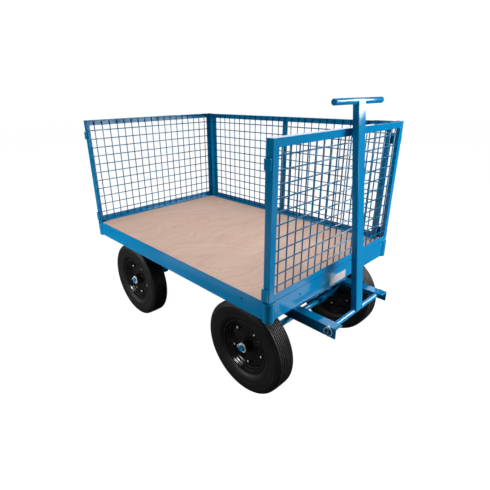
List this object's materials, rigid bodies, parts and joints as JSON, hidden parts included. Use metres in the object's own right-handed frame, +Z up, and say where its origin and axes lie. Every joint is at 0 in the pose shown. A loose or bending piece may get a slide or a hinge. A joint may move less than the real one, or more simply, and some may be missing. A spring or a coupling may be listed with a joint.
{
  "type": "platform truck",
  "caption": "Turntable platform truck with a plywood deck, lift-out mesh panels, pneumatic wheels and a folding tow handle.",
  "frame": {"origin": "on the floor under the middle of the truck's bounding box, with the wheels standing on z = 0", "axes": "+X towards the drawbar and tow handle (front), +Y to the truck's left, the side with the long mesh panel, +Z up"},
  "size_m": [1.3166, 0.8, 1.0688],
  "materials": {
    "blue_paint": "satin blue powder coat",
    "mesh_paint": "satin blue powder coat on welded wire",
    "plywood": "plain sanded plywood",
    "tyre_rubber": "smooth black rubber",
    "rim_black": "gloss black enamel",
    "zinc_steel": "bright zinc plate",
    "label_silver": "blank satin silver label"
  },
  "bodies": {
    "chassis": {"corner_sockets": "blue_paint", "deck_bearers": "blue_paint", "deck_board": "plywood", "front_channel": "blue_paint", "kingpin": "zinc_steel", "kingpin_nut": "zinc_steel", "label_plate": "label_silver", "left_side_channel": "blue_paint", "rear_axle_beam": "blue_paint", "rear_axle_hangers": "blue_paint", "rear_axle_washers": "zinc_steel", "rear_channel": "blue_paint", "rear_split_pins": "zinc_steel", "right_side_channel": "blue_paint", "turntable_top_plate": "blue_paint", "turntable_upper_ring": "blue_paint"},
    "bogie": {"bogie_channels": "blue_paint", "bogie_plate": "blue_paint", "front_axle_beam": "blue_paint", "front_axle_hangers": "blue_paint", "front_axle_washers": "zinc_steel", "front_split_pins": "zinc_steel", "left_drawbar_arm": "blue_paint", "linch_pin": "zinc_steel", "pivot_rod": "blue_paint", "right_drawbar_arm": "blue_paint", "turntable_lower_ring": "blue_paint"},
    "handle": {"grip_bar": "blue_paint", "handle_cross_tube": "blue_paint", "handle_post": "blue_paint"},
    "front_left_wheel": {"front_left_rim": "rim_black", "front_left_tyre": "tyre_rubber"},
    "front_right_wheel": {"front_right_rim": "rim_black", "front_right_tyre": "tyre_rubber"},
    "rear_left_wheel": {"rear_left_rim": "rim_black", "rear_left_tyre": "tyre_rubber"},
    "rear_right_wheel": {"rear_right_rim": "rim_black", "rear_right_tyre": "tyre_rubber"},
    "front_panel": {"front_panel_frame": "blue_paint", "front_panel_keepers": "blue_paint", "front_panel_mesh": "mesh_paint"},
    "rear_panel": {"rear_panel_frame": "blue_paint", "rear_panel_keepers": "blue_paint", "rear_panel_mesh": "mesh_paint"},
    "side_panel": {"side_panel_frame": "blue_paint", "side_panel_hooks": "blue_paint", "side_panel_mesh": "mesh_paint"}
  },
  "joints": [
    {"name": "bogie_turn", "type": "hinge", "parent": "chassis", "child": "bogie", "pos_m": [0.3657, 0, 0.38], "axis": [0, 0, 1], "range_deg": [-15, 15]},
    {"name": "handle_fold", "type": "hinge", "parent": "bogie", "child": "handle", "pos_m": [0.6317, 0, 0.3294], "axis": [0, 1, 0], "range_deg": [0, 115]},
    {"name": "front_left_wheel_spin", "type": "hinge", "parent": "bogie", "child": "front_left_wheel", "pos_m": [0.3657, 0.307, 0.19], "axis": [0, 1, 0], "continuous": true},
    {"name": "front_right_wheel_spin", "type": "hinge", "parent": "bogie", "child": "front_right_wheel", "pos_m": [0.3657, -0.307, 0.19], "axis": [0, 1, 0], "continuous": true},
    {"name": "rear_left_wheel_spin", "type": "hinge", "parent": "chassis", "child": "rear_left_wheel", "pos_m": [-0.4263, 0.307, 0.19], "axis": [0, 1, 0], "continuous": true},
    {"name": "rear_right_wheel_spin", "type": "hinge", "parent": "chassis", "child": "rear_right_wheel", "pos_m": [-0.4263, -0.307, 0.19], "axis": [0, 1, 0], "continuous": true},
    {"name": "front_panel_lift", "type": "slide", "parent": "chassis", "child": "front_panel", "axis": [0, 0, 1], "range_m": [0, 0.07]},
    {"name": "rear_panel_lift", "type": "slide", "parent": "chassis", "child": "rear_panel", "axis": [0, 0, 1], "range_m": [0, 0.07]},
    {"name": "side_panel_lift", "type": "slide", "parent": "chassis", "child": "side_panel", "axis": [0, 0, 1], "range_m": [0, 0.07]}
  ]
}
